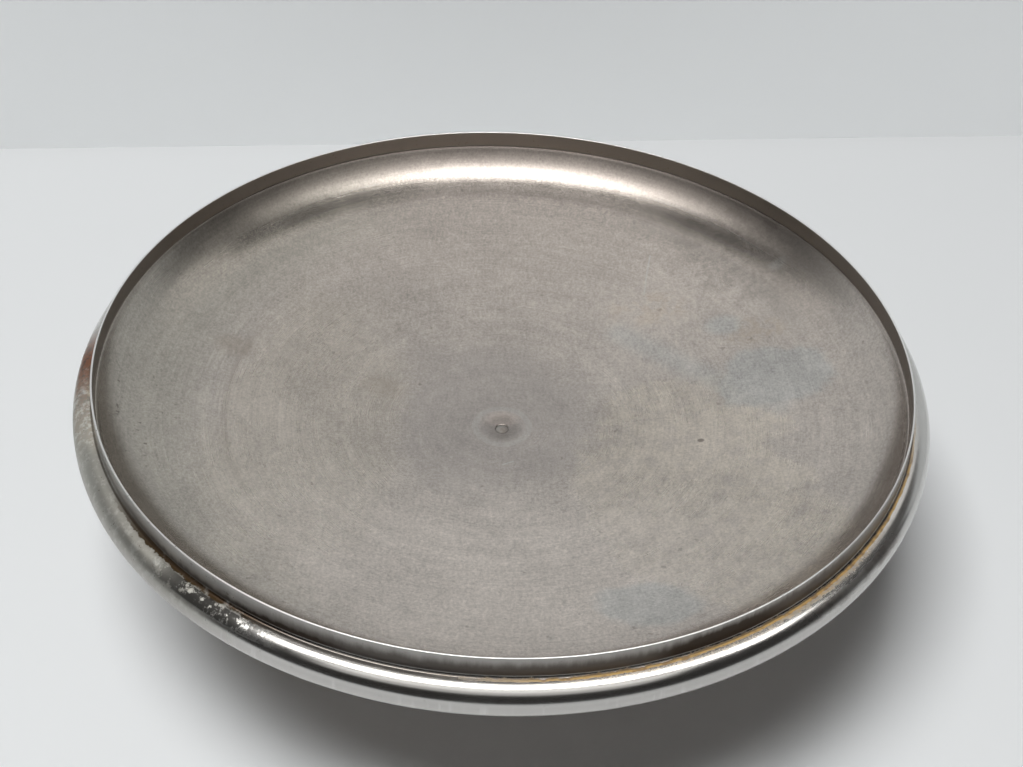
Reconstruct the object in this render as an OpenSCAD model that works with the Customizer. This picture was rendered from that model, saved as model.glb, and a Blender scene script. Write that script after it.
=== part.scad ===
// Low bench turntable for modelling and sculpting: a spun steel pan with a
// rolled edge turns on a ball thrust bearing over a cast iron base.
// Millimetres, +Z is the spin axis, the rubber feet stand on Z = 0.

/* [Pan] */
// Diameter over the upright lip of the pan
lip_d = 300; // [250:1:400]
// Height of the lip's top edge above the bench
lip_top_z = 90; // [84:0.5:130]
// Thickness of the pan's sheet
sheet = 0.8; // [0.6:0.1:1.2]
// Depth of the dish's middle below the lip edge
dish_depth = 42; // [36:0.5:43]
// Depth below the lip edge at which the flat dome runs into the knuckle
knuckle_depth = 22.5; // [19:0.5:26]
// Distance from the lip in to the start of the knuckle
knuckle_inset = 21; // [17:0.5:25]
// Inside radius of the knuckle
knuckle_r = 36; // [30:0.5:43]
// Outside radius of the rolled bead
bead_r = 6.4; // [5:0.1:8]
// Depth of the bead's centre below the lip edge
bead_depth = 14.9; // [13:0.1:18]
// How far the bead's centre stands outside the lip
bead_out = 1.9; // [1:0.1:3]
// Radius across the shallow dimple in the middle
dimple_r = 8; // [6:0.5:10]
// Depth of the dimple
dimple_depth = 1.2; // [0.6:0.1:1.6]

/* [Pan mounting] */
// Radius of the weld tip that shows in the dimple
pip_r = 2.3; // [1.5:0.1:3]
// How far the weld tip stands proud
pip_rise = 0.4; // [0.2:0.1:0.8]
// Radius of the stud under the pan (M8)
stud_r = 4; // [3:0.5:5]
// Length of the stud below its collar
stud_length = 12; // [8:0.5:14]
// Radius of the stud's welded collar
collar_r = 7; // [6:0.5:9]
// Thickness of the stud's collar
collar_t = 1.8; // [1:0.1:2.5]
// Inner radius of the rubber pad ring
pad_inner_r = 54; // [50:1:60]
// Outer radius of the rubber pad ring
pad_outer_r = 80; // [70:1:84]
// Thickness of the pad at its inner edge, where it is thinnest
pad_t = 3.5; // [2:0.5:4]

/* [Wheel] */
// How far the wheel plate stands out past the pad
plate_margin = 4; // [3:0.5:8]
// Thickness of the wheel plate
plate_t = 5; // [4:0.5:7]
// Height of the raised land that carries the pad
land_rise = 4; // [2:0.5:5]
// Thickness of the hub's bolting flange
flange_t = 5; // [4:0.5:7]
// Number of hub screws
hub_screw_n = 4; // [3:1:6]
// Radius of a hub screw's thread (M5)
hub_screw_r = 2.5; // [2:0.25:3]

/* [Spindle] */
// Radius of the spindle's journal
journal_r = 8; // [7:0.1:9.6]
// Radius of the spindle's head
head_r = 12; // [11:0.5:13]
// Radius of the dowel that drives the spindle's head
dowel_r = 1.2; // [1:0.1:1.5]
// Wall of the bronze bushes
bush_wall = 2; // [1.5:0.25:2.5]
// Running clearance between journal and bush
running_fit = 0.05; // [0.02:0.01:0.09]
// Thickness of the retaining ring
ring_t = 1; // [0.8:0.1:1.5]
// Depth of the retaining ring's groove
ring_groove_depth = 0.5; // [0.4:0.1:0.7]

/* [Bearing] */
// Bore radius of the thrust bearing
bearing_bore_r = 12.5; // [12:0.5:13]
// Outside radius of the thrust bearing
bearing_r = 21; // [20.5:0.5:22]
// Height of the thrust bearing
bearing_h = 11; // [10.5:0.5:12]
// Radius of a bearing ball
ball_r = 3.1; // [2.8:0.05:3.3]
// Number of bearing balls
ball_n = 12; // [8:1:14]
// Thickness of each bearing race
race_t = 3.6; // [3.2:0.1:3.9]

/* [Base] */
// Outside radius of the base casting
base_r = 95; // [85:1:110]
// Wall thickness of the casting
base_wall = 4.5; // [4:0.5:6]
// Height of the casting's lower edge above the bench
base_edge_z = 4; // [3:0.5:6]
// Height of the rim's shoulder above the bench
base_shoulder_z = 12; // [11:0.5:14]
// Outside radius of the bearing housing
housing_r = 30; // [29:0.5:31]
// Height of the floor that carries the bearing
bearing_floor_z = 19; // [18:0.5:22]
// Radius of the central boss under the floor
boss_r = 17; // [15:0.5:20]
// Height of the central boss's lower face
boss_bottom_z = 9; // [8.5:0.5:10]
// Thickness of the ribs under the casting
rib_t = 5; // [4:0.5:7]
// Radius of the circle of feet
foot_circle_r = 78; // [70:1:80]
// Radius of a rubber foot
foot_r = 11; // [9:0.5:12]
// Height of a rubber foot
foot_h = 8; // [7:0.5:9]
// Radius of a foot screw's thread (M4)
foot_screw_r = 2; // [1.5:0.25:2.5]

/* [Hidden] */
$fn = 128;

// Gap left where two pieces of one body meet on a curved face
seat_gap = 0.02;
// Air gap between pieces that turn past each other
air_gap = 0.3;
// A length longer than any piece, for cutting tools
far = 1000;
// Overlap that lets one cutter run out of a face
bite = 1;

// Pan, from the lip inwards
lip_r = lip_d / 2;
lip_inner_r = lip_r - sheet / 2;
knuckle_start_r = lip_r - knuckle_inset;
dome_rise = dish_depth - knuckle_depth;
dome_r = (pow(knuckle_start_r, 2) + pow(dome_rise, 2)) / (2 * dome_rise);
dome_centre_z = lip_top_z - dish_depth + dome_r;
knuckle_angle = asin(knuckle_start_r / dome_r);
knuckle_centre_x = knuckle_start_r - knuckle_r * sin(knuckle_angle);
knuckle_centre_z = lip_top_z - knuckle_depth + knuckle_r * cos(knuckle_angle);
// The dish's wall ends where it meets the inside of the lip
dish_edge_r = lip_inner_r - seat_gap;
bead_x = lip_r + bead_out;
bead_z = lip_top_z - bead_depth;
// Steps round the circles of the sheet's section
arc_steps = 720;
// Angles in a section are measured from straight down, positive outwards
curl_end_angle = -125;
dish_wall_angle = 75;
bend_inner_r = 1.2;
bend_r = bend_inner_r + sheet;
bend_x = lip_inner_r + bend_r;
bend_z = bead_z + bead_r + bend_inner_r;
dimple_ball_r = (pow(dimple_r, 2) + pow(dimple_depth, 2)) / (2 * dimple_depth);
dish_floor_z = lip_top_z - dish_depth;
dimple_z = dish_floor_z - dimple_depth;
dimple_centre_z = dimple_z + dimple_ball_r;

// Heights of the stack on the spindle: the bearing stands on its floor, and
// the plate and the hub's flange hang below the pan
bearing_top_z = bearing_floor_z + bearing_h;
ball_z = bearing_floor_z + bearing_h / 2;
ball_circle_r = (bearing_bore_r + bearing_r) / 2;
groove_r = ball_r + 0.15;
dome_under_pad_z = dome_centre_z - sqrt(pow(dome_r + sheet, 2) - pow(pad_inner_r, 2));
land_top_z = dome_under_pad_z - pad_t;
plate_top_z = land_top_z - land_rise;
flange_top_z = plate_top_z - plate_t;
flange_bottom_z = flange_top_z - flange_t;
plate_r = pad_outer_r + plate_margin;
collar_top_z = dimple_z - sheet;
stud_end_z = collar_top_z - collar_t - stud_length;

// Spindle and its bushes, downwards
bush_r = journal_r + bush_wall;
sleeve_r = bearing_bore_r - air_gap;
spigot_bottom_z = bearing_top_z - race_t + air_gap;
sleeve_top_z = spigot_bottom_z - 2 * air_gap;
bush_flange_t = 1.5;
bush_flange_r = bush_r + 3;
bush_middle_z = (boss_bottom_z + sleeve_top_z) / 2;
washer_t = 1;
washer_r = bush_flange_r + 1;
washer_top_z = boss_bottom_z - bush_flange_t - air_gap;
ring_top_z = washer_top_z - washer_t;
ring_groove_r = journal_r - ring_groove_depth;
ring_outer_r = journal_r + 2;
spindle_end_z = ring_top_z - ring_t - 1.4;
head_t = plate_t;
dowel_x = (journal_r + head_r) / 2;
dowel_bottom_z = flange_bottom_z + 1.5;

// Hub screws stand clear of the hub's body
hub_washer_t = 1.2;
hub_washer_r = 1.75 * hub_screw_r;
cap_head_r = 1.7 * hub_screw_r;
cap_head_h = 2 * hub_screw_r;
cap_head_top_z = flange_bottom_z - hub_washer_t;

// Base
seal_inner_r = bearing_r + 2.8;
seal_outer_r = seal_inner_r + 3.4;
seal_depth = 2;
hub_body_r = seal_outer_r + 1.2;
hub_screw_circle_r = hub_body_r + cap_head_r + 3;
flange_r = hub_screw_circle_r + cap_head_r + 4;
housing_top_z = bearing_top_z - 1;
cup_relief_r = bearing_r + 1.5;
neck_fillet = 4;
neck_r = housing_r + neck_fillet;
neck_z = bearing_floor_z + base_wall;
shoulder_round = 3;
// Number of ribs and of feet
foot_n = 4;
pad_boss_r = foot_r + 1;
foot_thread_depth = 4.5;
foot_washer_t = 0.8;
foot_washer_r = 2.25 * foot_screw_r;
foot_head_r = 1.95 * foot_screw_r;
foot_head_h = 1.2 * foot_screw_r;
foot_recess_z = foot_head_h + foot_washer_t + 0.4;

// A wedge of the section plane, opened at a centre from angle a0 to a1
// measured from straight down towards +X.
module wedge(cx, cz, a0, a1, reach) {
    polygon([
        [cx, cz],
        [cx + reach * sin(a0), cz - reach * cos(a0)],
        [cx + reach * sin((a0 + a1) / 2) / cos((a1 - a0) / 2),
         cz - reach * cos((a0 + a1) / 2) / cos((a1 - a0) / 2)],
        [cx + reach * sin(a1), cz - reach * cos(a1)]
    ]);
}

// Section of a sheet bent round a centre: inside radius r, thickness t.
module bent_sheet(cx, cz, r, t, a0, a1) {
    intersection() {
        difference() {
            translate([cx, cz]) circle(r + t, $fn = arc_steps);
            translate([cx, cz]) circle(r, $fn = arc_steps);
        }
        wedge(cx, cz, a0, a1, 2 * (r + t));
    }
}

// Repeats its children n times round the spin axis at radius r.
module around(n, r, start = 0) {
    for (i = [0:n - 1])
        rotate([0, 0, start + 360 * i / n]) translate([r, 0, 0]) children();
}

// A plain ring standing on z.
module ring(inner, outer, z, h) {
    rotate_extrude() translate([inner, z]) square([outer - inner, h]);
}

// Spun dish: a shallow dome with a dimple, and a rounded wall up to the lip.
module pan_dish() {
    color("#a39c92") rotate_extrude() difference() {
        union() {
            bent_sheet(0, dome_centre_z, dome_r, sheet, 0, knuckle_angle);
            intersection() {
                bent_sheet(knuckle_centre_x, knuckle_centre_z, knuckle_r, sheet,
                           knuckle_angle, dish_wall_angle);
                square([dish_edge_r, far]);
            }
            // A key inside the sheet joins the dome and the wall
            translate([knuckle_start_r + sheet / 2 * sin(knuckle_angle),
                       lip_top_z - knuckle_depth - sheet / 2 * cos(knuckle_angle)])
                circle(0.4 * sheet);
            intersection() {
                translate([0, dimple_centre_z]) circle(dimple_ball_r + sheet);
                translate([0, dimple_z - sheet]) square([far, dimple_depth + sheet]);
            }
        }
        translate([0, dimple_centre_z]) circle(dimple_ball_r);
        translate([-far, -far]) square([far + pip_r, 2 * far]);
    }
}

// Rolled rim: an upright lip, bent out into a hollow bead whose curl ends
// against the underside of the dish's wall.
module rim_band() {
    color("#c9c6c0") rotate_extrude() {
        translate([lip_inner_r, bend_z]) square([sheet, lip_top_z - bend_z]);
        bent_sheet(bend_x, bend_z, bend_inner_r, sheet, -90, 0);
        translate([bend_x, bend_z - bend_r]) square([bead_x - bend_x, sheet]);
        difference() {
            translate([bead_x, bead_z]) circle(bead_r);
            translate([bead_x, bead_z]) circle(bead_r - sheet);
            wedge(bead_x, bead_z, -180, curl_end_angle, 2 * bead_r);
            translate([knuckle_centre_x, knuckle_centre_z])
                circle(knuckle_r + sheet + seat_gap);
        }
    }
}

// Stud welded under the dish; the weld's tip shows in the dimple.
module pan_stud() {
    tip_ball_r = (pow(pip_r, 2) + pow(pip_rise, 2)) / (2 * pip_rise);
    color("#8f8a82") rotate_extrude() {
        translate([0, stud_end_z]) square([stud_r, stud_length + bite]);
        difference() {
            translate([0, collar_top_z - collar_t]) square([collar_r, collar_t + bite]);
            translate([0, dimple_centre_z]) circle(dimple_ball_r + sheet + seat_gap);
        }
        intersection() {
            translate([0, dimple_z + pip_rise - tip_ball_r]) circle(tip_ball_r);
            translate([0, collar_top_z - bite])
                square([pip_r - seat_gap, sheet + bite + pip_rise]);
        }
    }
}

// Rubber ring between the wheel plate and the dome of the dish.
module pan_pad() {
    color("#2e2c2a") rotate_extrude() difference() {
        translate([pad_inner_r, land_top_z])
            square([pad_outer_r - pad_inner_r, dish_floor_z]);
        translate([0, dome_centre_z]) circle(dome_r + sheet + seat_gap, $fn = arc_steps);
    }
}

// Disc that carries the pad on a raised land.
module wheel_plate() {
    land_margin = 2;
    chamfer = 1;
    color("#8d9094") difference() {
        rotate_extrude() polygon([
            [head_r + seat_gap, flange_top_z],
            [plate_r - chamfer, flange_top_z],
            [plate_r, flange_top_z + chamfer],
            [plate_r, plate_top_z],
            [pad_outer_r + land_margin, land_top_z],
            [pad_inner_r - land_margin, land_top_z],
            [pad_inner_r - land_margin - land_rise, plate_top_z],
            [head_r + seat_gap, plate_top_z]
        ]);
        around(hub_screw_n, hub_screw_circle_r)
            translate([0, 0, flange_top_z - bite])
                cylinder(r = hub_screw_r + seat_gap, h = plate_t + 2 * bite);
    }
}

// Hub: located in the upper race, bored for the spindle, flanged for the plate.
module hub() {
    chamfer = 1;
    color("#7d8084") difference() {
        rotate_extrude() polygon([
            [journal_r + seat_gap, spigot_bottom_z],
            [bearing_bore_r - seat_gap, spigot_bottom_z],
            [bearing_bore_r - seat_gap, bearing_top_z],
            [hub_body_r, bearing_top_z],
            [hub_body_r, flange_bottom_z],
            [flange_r - chamfer, flange_bottom_z],
            [flange_r, flange_bottom_z + chamfer],
            [flange_r, flange_top_z],
            [journal_r + seat_gap, flange_top_z]
        ]);
        around(hub_screw_n, hub_screw_circle_r)
            translate([0, 0, flange_bottom_z - bite])
                cylinder(r = hub_screw_r + air_gap, h = flange_t + 2 * bite);
        translate([dowel_x, 0, dowel_bottom_z - seat_gap])
            cylinder(r = dowel_r + seat_gap, h = far);
    }
}

// Cap screws that hold the hub's flange to the wheel plate from below.
module hub_screws() {
    hex_r = 0.92 * hub_screw_r;
    hex_depth = cap_head_h / 2;
    color("#55585c") around(hub_screw_n, hub_screw_circle_r) difference() {
        union() {
            translate([0, 0, cap_head_top_z - cap_head_h])
                cylinder(r = cap_head_r, h = cap_head_h);
            translate([0, 0, cap_head_top_z])
                cylinder(r = hub_screw_r, h = hub_washer_t + flange_t + plate_t - 0.5);
        }
        translate([0, 0, cap_head_top_z - cap_head_h - bite])
            cylinder(r = hex_r, h = hex_depth + bite, $fn = 6);
    }
}

module hub_lock_washers() {
    split_w = 0.8;
    color("#9a9c9f") around(hub_screw_n, hub_screw_circle_r) difference() {
        ring(hub_screw_r + 2 * seat_gap, hub_washer_r, cap_head_top_z, hub_washer_t);
        translate([0, -split_w / 2, cap_head_top_z - bite])
            cube([far, split_w, hub_washer_t + 2 * bite]);
    }
}

// Turned spindle: headed at the top, tapped for the pan's stud, and grooved
// for the retaining ring at the bottom.
module spindle() {
    chamfer = 0.8;
    drill_end_z = stud_end_z - 1;
    color("#b9bcc0") difference() {
        rotate_extrude() polygon([
            [0, spindle_end_z],
            [journal_r - chamfer, spindle_end_z],
            [journal_r, spindle_end_z + chamfer],
            [journal_r, flange_top_z],
            [head_r, flange_top_z],
            [head_r, flange_top_z + head_t],
            [0, flange_top_z + head_t]
        ]);
        ring(ring_groove_r, journal_r + bite, ring_top_z - ring_t - seat_gap,
             ring_t + 2 * seat_gap);
        translate([0, 0, drill_end_z]) cylinder(r = stud_r + seat_gap, h = far);
        translate([dowel_x, 0, flange_top_z - bite])
            cylinder(r = dowel_r + seat_gap, h = far);
    }
}

module spindle_dowel() {
    color("#9fa2a6") translate([dowel_x, 0, dowel_bottom_z])
        cylinder(r = dowel_r, h = flange_top_z + head_t - dowel_bottom_z - 0.3);
}

// Grooved washer of the thrust bearing, from z up.
module race(inner, outer, z) {
    rotate_extrude() difference() {
        translate([inner, z]) square([outer - inner, race_t]);
        translate([ball_circle_r, ball_z]) circle(groove_r);
    }
}

module upper_race() {
    color("#c3c6ca") race(bearing_bore_r, bearing_r - air_gap, bearing_top_z - race_t);
}

module lower_race() {
    color("#c3c6ca") race(bearing_bore_r, bearing_r, bearing_floor_z);
}

// Cage that spaces the balls; it turns at half the wheel's speed.
module bearing_cage() {
    cage_t = 2.2;
    side = 0.5;
    color("#c79a4b") difference() {
        ring(bearing_bore_r + side, bearing_r - side, ball_z - cage_t / 2, cage_t);
        around(ball_n, ball_circle_r) translate([0, 0, ball_z]) sphere(ball_r + 0.1);
    }
}

module bearing_balls() {
    color("#d5d8dc") around(ball_n, ball_circle_r)
        translate([0, 0, ball_z]) sphere(ball_r);
}

// Washer that turns with the spindle under the lower bush's flange.
module end_washer() {
    color("#a7aaae") ring(journal_r + seat_gap, washer_r, ring_top_z, washer_t);
}

// Spring ring with two eyes, in the spindle's groove.
module retaining_ring() {
    gap_w = 4;
    eye_r = 1.8;
    eye_hole_r = 0.8;
    eye_x = ring_groove_r + seat_gap + eye_r;
    color("#4c4f53") translate([0, 0, ring_top_z - ring_t]) difference() {
        union() {
            difference() {
                cylinder(r = ring_outer_r, h = ring_t);
                translate([0, -gap_w / 2, -bite]) cube([far, gap_w, ring_t + 2 * bite]);
            }
            for (side = [-1, 1])
                translate([eye_x, side * (gap_w / 2 + eye_r), 0])
                    cylinder(r = eye_r, h = ring_t);
        }
        translate([0, 0, -bite])
            cylinder(r = ring_groove_r + seat_gap, h = ring_t + 2 * bite);
        for (side = [-1, 1])
            translate([eye_x, side * (gap_w / 2 + eye_r), -bite])
                cylinder(r = eye_hole_r, h = ring_t + 2 * bite);
    }
}

// Outline of the casting without its hollow.
module base_outline() {
    difference() {
        union() {
            polygon([
                [0, base_edge_z],
                [base_r, base_edge_z],
                [base_r, base_shoulder_z - shoulder_round],
                [base_r - shoulder_round, base_shoulder_z],
                [neck_r, neck_z],
                [neck_r, housing_top_z],
                [0, housing_top_z]
            ]);
            translate([base_r - shoulder_round, base_shoulder_z - shoulder_round])
                circle(shoulder_round);
        }
        translate([neck_r, neck_z + neck_fillet]) circle(neck_fillet);
        translate([housing_r, neck_z + neck_fillet]) square([far, far]);
    }
}

// Hollow under the casting, between the boss and the rim.
module base_hollow() {
    inner_rim_r = base_r - base_wall;
    under_neck_r = neck_r - base_wall;
    polygon([
        [boss_r, base_edge_z - bite],
        [inner_rim_r, base_edge_z - bite],
        [inner_rim_r, base_shoulder_z - base_wall],
        [neck_r, neck_z - base_wall],
        [under_neck_r, bearing_floor_z - base_wall],
        [boss_r, bearing_floor_z - base_wall]
    ]);
}

// Cast iron base: a low cone with a bearing cup, a bored boss, ribs and
// pads for the feet.
module base_casting() {
    rib_start = 180 / foot_n;
    color("#4a4d4a") difference() {
        union() {
            rotate_extrude() difference() {
                base_outline();
                base_hollow();
            }
            intersection() {
                rotate_extrude() base_outline();
                around(foot_n, 0, rib_start)
                    translate([boss_r - bite, -rib_t / 2, foot_h])
                        cube([base_r - base_wall - boss_r + 2 * bite, rib_t, neck_z - foot_h]);
            }
            intersection() {
                rotate_extrude() base_outline();
                around(foot_n, foot_circle_r, rib_start)
                    translate([0, 0, foot_h]) cylinder(r = pad_boss_r, h = base_shoulder_z);
            }
        }
        // Relief below the boss, then the bore for the bushes
        translate([0, 0, -bite]) cylinder(r = boss_r + seat_gap, h = boss_bottom_z + bite);
        cylinder(r = bush_r + seat_gap, h = far);
        // Cup for the bearing, around the sleeve
        ring(sleeve_r, bearing_r + seat_gap, bearing_floor_z, far);
        ring(sleeve_r, cup_relief_r, bearing_floor_z + race_t, far);
        ring(0, sleeve_r + bite, sleeve_top_z, far);
        // Groove for the dust seal
        ring(seal_inner_r, seal_outer_r, housing_top_z - seal_depth, far);
        around(foot_n, foot_circle_r, rib_start)
            translate([0, 0, foot_h - bite])
                cylinder(r = foot_screw_r + seat_gap, h = foot_thread_depth + bite);
    }
}

// Bronze sleeves in the boss; the lower one is flanged.
module bush(z, top) {
    ring(journal_r + running_fit, bush_r, z, top - z);
}

module lower_bush() {
    color("#b98a45") {
        bush(boss_bottom_z - bush_flange_t, bush_middle_z - air_gap);
        ring(journal_r + running_fit, bush_flange_r, boss_bottom_z - bush_flange_t,
             bush_flange_t);
    }
}

module upper_bush() {
    color("#b98a45") bush(bush_middle_z + air_gap, sleeve_top_z);
}

// Felt ring in the housing's groove, just clear of the hub's body.
module dust_seal() {
    seal_bottom_z = housing_top_z - seal_depth;
    color("#6b675f") ring(seal_inner_r + seat_gap, seal_outer_r - seat_gap, seal_bottom_z,
                          bearing_top_z - air_gap - seal_bottom_z);
}

// Puts its children under foot number i.
module at_foot(i) {
    rotate([0, 0, 360 * (i - 0.5) / foot_n]) translate([foot_circle_r, 0, 0]) children();
}

// Rubber foot with a recess for its screw.
module foot(i) {
    edge = 1.5;
    color("#262524") at_foot(i) rotate_extrude() difference() {
        union() {
            square([foot_r - edge, foot_h]);
            translate([0, edge]) square([foot_r, foot_h - edge]);
            translate([foot_r - edge, edge]) circle(edge);
        }
        translate([-far, -far]) square([far + foot_screw_r + air_gap, 2 * far]);
        translate([-far, -far]) square([far + foot_washer_r + air_gap, far + foot_recess_z]);
    }
}

module foot_washers() {
    color("#a7aaae") for (i = [1:foot_n]) at_foot(i)
        ring(foot_screw_r + seat_gap, foot_washer_r, foot_recess_z - foot_washer_t,
             foot_washer_t);
}

// Pan head screws with a cross recess.
module foot_screws() {
    head_top_z = foot_recess_z - foot_washer_t;
    cross_l = 1.3 * foot_head_r;
    cross_w = 0.45 * foot_screw_r;
    cross_depth = foot_head_h / 2;
    color("#8b8e92") for (i = [1:foot_n]) at_foot(i) difference() {
        union() {
            translate([0, 0, head_top_z - foot_head_h])
                cylinder(r = foot_head_r, h = foot_head_h);
            translate([0, 0, head_top_z])
                cylinder(r = foot_screw_r,
                         h = foot_h + foot_thread_depth - head_top_z - air_gap);
        }
        for (turn = [0, 90])
            rotate([0, 0, turn])
                translate([-cross_l / 2, -cross_w / 2, head_top_z - foot_head_h - bite])
                    cube([cross_l, cross_w, cross_depth + bite]);
    }
}

pan_dish();
rim_band();
pan_stud();
pan_pad();
wheel_plate();
hub();
hub_screws();
hub_lock_washers();
spindle();
spindle_dowel();
upper_race();
end_washer();
retaining_ring();
bearing_cage();
bearing_balls();
base_casting();
upper_bush();
lower_bush();
lower_race();
dust_seal();
foot(1);  // foot_1
foot(2);  // foot_2
foot(3);  // foot_3
foot(4);  // foot_4
foot_washers();
foot_screws();
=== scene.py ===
# Detailed surfaces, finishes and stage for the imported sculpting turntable.
import math

import bpy
import numpy as np
from bpy.props import FloatProperty, FloatVectorProperty, IntProperty, PointerProperty
from mathutils import Matrix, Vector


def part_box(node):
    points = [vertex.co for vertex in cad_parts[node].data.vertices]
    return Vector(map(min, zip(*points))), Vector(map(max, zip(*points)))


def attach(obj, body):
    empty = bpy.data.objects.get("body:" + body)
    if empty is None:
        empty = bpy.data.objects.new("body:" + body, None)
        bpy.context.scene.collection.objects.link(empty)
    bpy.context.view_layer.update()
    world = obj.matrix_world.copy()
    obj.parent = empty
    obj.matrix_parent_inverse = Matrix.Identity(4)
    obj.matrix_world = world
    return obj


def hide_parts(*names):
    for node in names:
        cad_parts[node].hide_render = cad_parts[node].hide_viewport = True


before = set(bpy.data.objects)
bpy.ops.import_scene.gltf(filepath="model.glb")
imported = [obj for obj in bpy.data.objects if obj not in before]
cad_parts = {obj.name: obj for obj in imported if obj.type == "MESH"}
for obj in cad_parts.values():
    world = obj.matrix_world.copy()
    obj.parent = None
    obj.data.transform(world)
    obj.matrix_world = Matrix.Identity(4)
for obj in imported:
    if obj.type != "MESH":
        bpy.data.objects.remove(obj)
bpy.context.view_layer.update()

bl_info = {
    "name": "Sculpting Turntable",
    "version": (1, 0, 0),
    "blender": (4, 5, 0),
    "location": "View3D > Sidebar > Turntable",
    "description": "Spun pan, rolled rim, cast base, their finishes and a stage",
    "category": "Object",
}

MM = 0.001
RIM_LOW, RIM_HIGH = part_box("rim_band")
DISH_LOW, DISH_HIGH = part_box("pan_dish")
BASE_LOW, BASE_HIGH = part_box("base_casting")
FEET = ("foot_1", "foot_2", "foot_3", "foot_4")
SHEET_GAP = 0.02 * MM        # Between the dish's edge and the lip round it
WHEEL_RINGS = 256            # Steps round a whole turned or cast ring
SMALL_RINGS = 96             # Steps round a foot or its pad
GROOVE_TURN = 97.0           # Degrees round the bead, from level, where the lip meets it

# Panels that only the metal reflects: name, place, size and share of the panel's brightness
SHEEN_PANELS = (
    ("overhead_panel", (-0.01, -0.15, 0.62), (0.40, 0.15), 0.9),
    ("wide_panel", (0.02, -0.11, 0.63), (1.12, 0.20), 1.0),
    ("front_panel", (0.03, -0.36, 0.62), (0.76, 0.18), 0.24),
    ("low_panel", (0.0, -0.54, 0.60), (0.90, 0.20), 0.13),
    ("middle_panel", (0.0, 0.19, 0.63), (0.22, 0.24), 0.10),
    ("back_panel", (0.0, 0.46, 0.66), (1.3, 0.28), 0.18),
)


# ---------------------------------------------------------------- settings

def length(name, description, default, low=0.0, high=1.0):
    """A size in metres that the sidebar shows in the scene's unit."""
    return FloatProperty(name=name, description=description, default=default, min=low, max=high,
                         unit="LENGTH", precision=5)


def share(name, description, default):
    """A number from 0 to 1."""
    return FloatProperty(name=name, description=description, default=default, min=0.0, max=1.0,
                         subtype="FACTOR")


def colour(name, description, default):
    """A linear colour."""
    return FloatVectorProperty(name=name, description=description, default=default, min=0.0,
                               max=1.0, size=3, subtype="COLOR")


class PanShape(bpy.types.PropertyGroup):
    """Sizes of the spun dish and its rolled rim."""
    sheet: length("Sheet", "Thickness of the steel sheet", 0.8 * MM)
    dish_depth: length("Dish depth", "From the lip's edge down to the dish's middle", 42 * MM)
    wall_inset: length("Wall inset", "From the lip in to where the wall starts", 21 * MM)
    wall_depth: length("Wall depth", "From the lip's edge down to where the wall starts", 22.5 * MM)
    wall_radius: length("Wall radius", "Radius of the rounded wall inside", 36 * MM)
    dimple_radius: length("Dimple radius", "Radius of the soft dimple", 10 * MM)
    dimple_depth: length("Dimple depth", "Depth of the soft dimple", 1.2 * MM)
    pip_radius: length("Pip radius", "Radius of the weld's tip", 2.3 * MM)
    bead_radius: length("Bead radius", "Outside radius of the rolled bead", 6.4 * MM)
    bend_radius: length("Bend radius", "Inside radius where the lip turns into the bead", 1.2 * MM)
    waviness: length("Waviness", "How far the spun sheet runs out of true", 0.07 * MM)
    around: IntProperty(name="Steps", description="Steps round the pan", default=512, min=64,
                        max=1024)


class BaseShape(bpy.types.PropertyGroup):
    """Sizes of the cast base and its rubber feet."""
    radius: length("Radius", "Outside radius at the skirt", 95 * MM)
    wall: length("Wall", "Thickness of the skirt", 4.5 * MM)
    shoulder: length("Shoulder", "Height of the skirt's shoulder", 12 * MM)
    neck: length("Neck", "Height where the cone meets the housing", 23.5 * MM)
    housing: length("Housing", "Outside radius of the bearing housing", 30 * MM)
    boss: length("Boss", "Radius of the boss round the spindle", 17 * MM)
    foot_circle: length("Foot circle", "Radius of the circle the feet stand on", 78 * MM)
    foot_radius: length("Foot radius", "Radius of a rubber foot", 11 * MM)
    foot_height: length("Foot height", "Height of a rubber foot", 8 * MM)
    round_edge: length("Round edge", "Rounding of the casting's edges", 1.2 * MM)


class Tints(bpy.types.PropertyGroup):
    """Colours and wear that the finishes share."""
    pan_steel: colour("Pan steel", "Bare spun steel", (0.555, 0.503, 0.462))
    rim_steel: colour("Rim steel", "Polished steel of the bead", (0.64, 0.63, 0.61))
    beige_film: colour("Beige film", "Dried clay film in the pan", (0.66, 0.595, 0.515))
    rust: colour("Rust", "Rust in the groove of the rim", (0.58, 0.35, 0.09))
    enamel: colour("Enamel", "Enamel on the cast base", (0.055, 0.066, 0.062))
    rubber: colour("Rubber", "Rubber of the pad and the feet", (0.035, 0.034, 0.033))
    wear: share("Wear", "How strongly stains and marks show", 1.0)


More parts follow.
